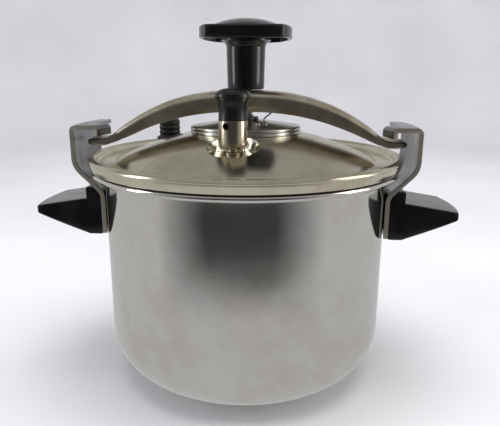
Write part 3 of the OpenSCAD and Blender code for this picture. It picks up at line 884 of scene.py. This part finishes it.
def bow_section(x):
    """Inverted channel: soft shoulders, thin sides, and a hollow that closes towards the ends."""
    past = max(0.0, abs(x) - (BOW_HALF - 3.0)) / 3.0
    nose = math.sqrt(max(0.0, 1 - past * past))
    plan = 5.0
    inset = max(0.0, abs(x) - (BOW_HALF - plan))
    half = BOW_SIDE - plan + math.sqrt(max(0.0, plan * plan - inset * inset))
    top, low = bow_upper(x), bow_lower(x)
    centre = (top + low) / 2
    top = centre + (top - centre) * max(nose, 0.12)
    low = centre + (low - centre) * max(nose, 0.12)
    height = top - low
    shoulder = min(5.5, height * 0.46)
    closing = smoothstep(88, 102, abs(x))
    web = 2.6 + (height - 2.6 - 0.3) * closing
    inner = half - 2.4
    in_top = top - web
    in_shoulder = min(3.4, (in_top - low) * 0.45)
    crown = 0.5
    outline = [(-half, low + 0.5), (-half, low + (height - shoulder) * 0.5)]
    outline += arc((-half + shoulder, top - shoulder - crown), shoulder, 180, 90, 8)
    outline += [(y, top - crown * (y / (half - shoulder)) ** 2) for y in (-6, -2.5, 2.5, 6)]
    outline += arc((half - shoulder, top - shoulder - crown), shoulder, 90, 0, 8)
    outline += [(half, low + (height - shoulder) * 0.5), (half, low + 0.5), (half - 0.4, low + 0.05),
                (inner + 0.4, low + 0.05), (inner, low + 0.4)]
    outline += arc((inner - in_shoulder, in_top - in_shoulder), in_shoulder, 0, 90, 5)
    outline += arc((-inner + in_shoulder, in_top - in_shoulder), in_shoulder, 90, 180, 5)
    outline += [(-inner, low + 0.4), (-inner - 0.4, low + 0.05), (-half + 0.4, low + 0.05)]
    return [(x, y, z) for y, z in outline]


def bow_channel():
    half_stations = [i * 4.0 for i in range(22)] + [86 + 1.5 * i for i in range(24)]
    half_stations += [BOW_HALF - 3 * (1 - math.sin(math.radians(a))) for a in (25, 45, 62, 76, 90)]
    stations = [-x for x in reversed(half_stations[1:])] + half_stations
    thing = loft("bow_channel_mesh", [bow_section(x) for x in stations], sharp=42)
    drill = lathe("drill", [(0, 200), (8.1, 200), (8.1, 240), (0, 240)], segments=64)
    cut(thing, drill)
    smooth(thing.data, 42)
    dress_as(thing, "bow", "bow_steel", "bow_channel")


# ---------- pressure disc ----------

def pressure_disc():
    rim = corner("pressure_disc", 1).x
    boss = corner("pressure_disc", 1).z
    bore = 4.08
    upper = rounded([
        (bore, boss - 1.8), (9, boss - 1.8), (rim - 2.2, 197.2), (rim - 1.6, 196.35, 0.3),
        (rim, 196.35, 0.5), (rim, 198.4, 0.6), (rim - 1.5, 199, 0.8), (14, 202.9, 2), (10, boss, 1.2),
        (bore, boss)])
    dress_as(lathe("pressure_disc_mesh", upper, segments=144), "pressure_disc", "polished_steel",
             "pressure_disc", look="disc_steel")
    lower = rounded([
        (13, 197.2), (36, 194.8, 2), (rim - 2.7, 193.7, 0.5), (rim, 193.7, 0.6), (rim, 196, 0.6),
        (rim - 2.2, 196.2, 0.4), (13, 199.2)])
    dress_as(lathe("disc_backing_mesh", lower, segments=144), "pressure_disc", "polished_steel",
             "disc_backing", look="disc_steel")


def disc_rivets():
    """Domed rivet heads and shanks, in two pairs."""
    high = corner("disc_rivets", 1).z
    low = corner("disc_rivets", 0).z
    head = [(0, low), (1.4, low), (1.6, low + 0.2), (1.6, high - 0.9), (2.4, high - 0.9), (2.4, high - 0.7),
            (2.0, high - 0.3), (1.2, high - 0.05), (0, high)]
    things = []
    for a in (-65, -51, 115, 129):
        turn = math.radians(a)
        thing = lathe("rivet", head, segments=32, closed=False)
        thing.data.transform(Matrix.Translation(Vector((25 * math.cos(turn), 25 * math.sin(turn), 0)) * MM))
        things.append(thing)
    joined = bmesh.new()
    for thing in things:
        joined.from_mesh(thing.data)
        bpy.data.objects.remove(thing)
    mesh = bpy.data.meshes.new("disc_rivets_mesh")
    joined.to_mesh(mesh)
    joined.free()
    smooth(mesh)
    thing = bpy.data.objects.new("disc_rivets_mesh", mesh)
    bpy.context.scene.collection.objects.link(thing)
    dress_as(thing, "pressure_disc", "fastener_steel", "disc_rivets")


def centring_wire():
    """Bent wire from the disc's boss up into the bow's channel."""
    radius = 0.55
    path = spline([(13.9, 0, 203.3), (17, 0.1, 206.1), (20.5, 0.15, 208.8), (24, 0.1, 210.9),
                   (27.2, 0, 212.5)], 5)
    sections = []
    for i, point in enumerate(path):
        ahead = Vector(path[min(i + 1, len(path) - 1)]) - Vector(path[max(i - 1, 0)])
        side = Vector((0, 1, 0))
        up = ahead.normalized().cross(side).normalized()
        sections.append([tuple(Vector(point) + radius * (side * math.cos(a) + up * math.sin(a)))
                         for a in (2 * math.pi * k / 12 for k in range(12))])
    dress_as(loft("centring_wire_mesh", sections), "pressure_disc", "dark_wire", "centring_wire")


# ---------- screw and knob ----------

def clamp_screw():
    """Screw with a trapezoidal thread of 3 mm pitch, right-handed."""
    pitch, depth, major = 3.0, 1.35, 6.0
    start, end = 206.4, 244.0
    segments = 48
    rows = int((end - start) / 0.25)
    vertices, rings = [], []

    def ring(radius_at, z):
        first = len(vertices)
        for i in range(segments):
            a = 2 * math.pi * i / segments
            r = radius_at(a, z)
            vertices.append((r * math.cos(a), r * math.sin(a), z))
        rings.append(list(range(first, len(vertices))))

    def thread(a, z):
        phase = ((z - start) / pitch - a / (2 * math.pi)) % 1.0
        groove = smoothstep(0.12, 0.3, phase) * (1 - smoothstep(0.62, 0.8, phase))
        fade = smoothstep(start, start + 1.2, z) * (1 - smoothstep(end - 1.2, end, z))
        return major - depth * groove * fade

    for radius, z in ((0.01, 198.4), (3.3, 198.4), (4, 199), (4, 199.8), (3.4, 199.85), (3.4, 201.25),
                      (4, 201.3), (4, 205.5), (5.7, 205.5), (major, 205.8)):
        ring(lambda a, z, r=radius: r, z)
    for i in range(rows + 1):
        ring(thread, start + (end - start) * i / rows)
    for radius, z in ((major, 245.6), (5.6, 246), (0.01, 246)):
        ring(lambda a, z, r=radius: r, z)
    faces = [face for pair in zip(rings, rings[1:]) for face in band(*pair)]
    thing = mesh_object("clamp_screw_mesh", vertices, faces, sharp=38)
    drive = lathe("drive", [(0, 245.5), (5.6568, 245.5), (5.6568, 258), (0, 258)], segments=4)
    drive.data.transform(Matrix.Rotation(math.radians(45), 4, "Z"))
    stud = lathe("stud", rounded([(0, 257.5), (4, 257.5), (4, 268, 0.6), (0, 268)]), segments=48)
    joined = bmesh.new()
    for part in (thing, drive, stud):
        joined.from_mesh(part.data)
    joined.to_mesh(thing.data)
    joined.free()
    for part in (drive, stud):
        bpy.data.objects.remove(part)
    smooth(thing.data, 38)
    dress_as(thing, "screw", "fastener_steel", "clamp_screw")


def knob_plan(a, inset):
    """Plan point of the knob's head in a direction: bowed ends, nearly flat front and back."""
    half_x, half_y = 35.0 - inset, 31.0 - inset
    best = 1e9
    c, s = abs(math.cos(a)), abs(math.sin(a))
    for centre, radius in (((half_x - 74 + inset, 0), 74 - inset), ((0, half_y - 190), 190)):
        b = centre[0] * c + centre[1] * s
        q = centre[0] ** 2 + centre[1] ** 2 - radius ** 2
        best = min(best, b + math.sqrt(b * b - q))
    soft = 41.0 - inset
    distance = (best ** -24 + soft ** -24) ** (-1 / 24)
    return distance * math.cos(a), distance * math.sin(a)


def knob():
    head_z = 262.0
    head_top = corner("knob", 1).z
    stem_z = corner("knob", 0).z
    count = 160
    angles = [2 * math.pi * i / count for i in range(count)]
    sections = []

    def circle(radius, z):
        sections.append([(radius * math.cos(a), radius * math.sin(a), z) for a in angles])

    def plan(inset, z, arch=0.0):
        points = []
        for a in angles:
            x, y = knob_plan(a, inset)
            points.append((x, y, z + arch * (x / 35) ** 2))
        sections.append(points)

    circle(6.1, stem_z + 4)
    circle(6.1, stem_z)
    for radius, z in arc((12.4, stem_z + 1.8), 1.8, -90, -4, 5):
        circle(radius, z)
    for k in range(1, 6):
        circle(14.2 + 0.12 * k, stem_z + 1.8 + 5.4 * k)
    for radius, z in arc((20.2, 256.8), 5.4, 178, 102, 8):
        circle(radius, z)
    circle(19.2, head_z + 3.0)
    plan(3.4, head_z + 3.4)
    plan(3.1, head_z + 3.0)
    plan(2.9, head_z + 0.5, 1.2)
    plan(2.5, head_z + 0.1, 1.2)
    for d, z in arc((1.7, head_z + 1.7), 1.7, 270, 180, 5):
        plan(d, z, 1.2 * (1 - (z - head_z) / 1.7))
    for z in (head_z + 5, head_z + 7):
        plan(0.0, z)
    for d, z in arc((1.8, head_top - 1.8), 1.8, 180, 90, 5):
        plan(d, z)
    plan(3.2, head_top)
    circle(27.6, head_top)
    circle(27.4, head_top - 0.5)
    circle(10, head_top - 0.5)
    circle(10, 259)
    circle(4.4, 259)
    circle(4.4, 257)
    thing = loft("knob_mesh", sections, sharp=38, capped=False)
    dress_as(thing, "screw", "phenolic", "knob")
    top = corner("knob_cap", 1).z
    radius = 27.3
    rise = top - head_top - 0.6
    ball = (radius ** 2 + rise ** 2) / (2 * rise)
    edge = math.degrees(math.asin(radius / ball))
    outline = [(0, 269), (9.8, 269), (9.9, head_top - 0.4), (radius - 0.2, head_top - 0.4),
               (radius, head_top - 0.2), (radius, head_top + 0.35)]
    outline += [(r * 0.995, z) for r, z in arc((0, top - ball), ball, 90 - edge, 90, 18)][:-1]
    outline += [(0, top)]
    dress_as(lathe("knob_cap_mesh", rounded(outline), segments=128), "screw", "phenolic", "knob_cap")


def cad_nodes():
    """CAD pieces that keep their shape get the same materials as the rest."""
    looks = {
        "heat_spreader": "aluminium", "handle_screws": "fastener_steel", "handle_washers": "fastener_steel",
        "nozzle_washer": "rubber", "nozzle_nut": "brass", "safety_housing": "brass", "safety_nut": "brass",
        "safety_plug": "brass", "safety_spring": "fastener_steel", "safety_plunger": "brass",
        "regulator_needle": "fastener_steel", "bow_nut": "fastener_steel", "thrust_washer": "dark_wire",
        "retaining_ring": "dark_wire", "knob_nut": "fastener_steel",
    }
    for name, look in looks.items():
        for place in frame["nodes"][name].material_slots:
            place.material = MATERIALS[look]


# ---------- stage ----------

def cloth():
    material, tree, shader = principled("pale_cloth", Roughness=0.9)
    # painted shade: the flat cloth's colour goes paler and darker in broad patches, standing in for the
    # shading of folds
    painted_fold_shade = noise(tree, node(tree, "ShaderNodeTexCoord").outputs["Object"], 3.0, 2.0)
    colour = ramp(tree, painted_fold_shade, [(0.3, (0.76, 0.76, 0.80)), (0.7, (0.84, 0.84, 0.87))])
    tree.links.new(colour, shader.inputs["Base Color"])
    return material


def floor_and_backdrop():
    """A pale floor that sweeps up all around. Reflections pass it, and show the studio's greys."""
    outline = [(0, -0.04), (900, -0.04), (1500, -0.04)]
    outline += arc((1500, 600), 600.04, -90, 0, 12)
    outline += [(2100, 1500)]
    sweep = lathe("sweep", outline, segments=96, closed=False, sharp=60)
    sweep.visible_glossy = False
    sweep.data.materials.append(cloth())


def light(name, size, power, place, target, colour=(1, 1, 1)):
    data = bpy.data.lights.new(name, "AREA")
    data.shape = "RECTANGLE"
    data.size, data.size_y = size
    data.energy = power
    data.color = colour
    lamp = bpy.data.objects.new(name, data)
    lamp.location = place
    lamp.rotation_euler = (Vector(target) - Vector(place)).to_track_quat("-Z", "Y").to_euler()
    bpy.context.scene.collection.objects.link(lamp)
    return lamp


def lights():
    target = (0, 0, 0.12)
    light("top", (1.6, 1.2), 24, (0.1, 0.0, 1.7), target, (1.0, 0.99, 0.97)).visible_glossy = False
    light("left", (0.35, 1.2), 6, (-1.5, -0.35, 0.6), target, (0.9, 0.96, 1.0))
    light("right", (0.6, 1.2), 6.5, (1.45, -0.1, 0.6), target, (1.0, 0.98, 0.95))


def world():
    """A plain soft studio in greys: dim behind the camera, and pale at the sides, behind and below."""
    surroundings = bpy.data.worlds.new("studio")
    surroundings.use_nodes = True
    tree = surroundings.node_tree
    direction = node(tree, "ShaderNodeTexCoord").outputs["Generated"]
    y, z = node(tree, "ShaderNodeSeparateXYZ", {0: direction}).outputs[1:3]
    ahead = remap(tree, maths(tree, "MULTIPLY", y, -1.0), 0.35, 0.85, 0.0, 1.0)
    level = remap(tree, z, -0.46, -0.32, 0.0, 1.0)
    walls = blend_colours(tree, maths(tree, "MULTIPLY", ahead, level), (0.62, 0.62, 0.63),
                          (0.06, 0.06, 0.065))
    overhead = remap(tree, z, 0.3, 0.62, 0.0, 1.0)
    colour = blend_colours(tree, overhead, walls, (0.40, 0.40, 0.40))
    background = tree.nodes["Background"]
    tree.links.new(colour, background.inputs["Color"])
    background.inputs["Strength"].default_value = 0.9
    bpy.context.scene.world = surroundings
    bpy.context.scene.view_settings.view_transform = "Standard"


def camera():
    """The photograph's viewpoint: a little to the right, above the lid, looking down 14.7 degrees."""
    data = bpy.data.cameras.new("camera")
    data.lens = 37.6
    data.sensor_width = 36
    data.clip_start = 0.01
    viewer = bpy.data.objects.new("camera", data)
    viewer.location = Vector((28.77, -415.6, 236.46)) * MM
    roll = Matrix.Rotation(math.radians(0.22), 4, "Z")
    aim = Euler((math.radians(90 - 14.73), 0, math.radians(3.47))).to_matrix().to_4x4()
    viewer.rotation_euler = (aim @ roll).to_euler()
    bpy.context.scene.collection.objects.link(viewer)
    bpy.context.scene.camera = viewer


camera()
world()
lights()
floor_and_backdrop()
pot_body()
base_cap()
for SIDE in (1, -1):
    bracket(SIDE)
    handle(SIDE)
lid_shell()
lid_gasket()
steam_nozzle()
safety_valve()
regulator()
bow_channel()
pressure_disc()
disc_rivets()
centring_wire()
clamp_screw()
knob()
cad_nodes()
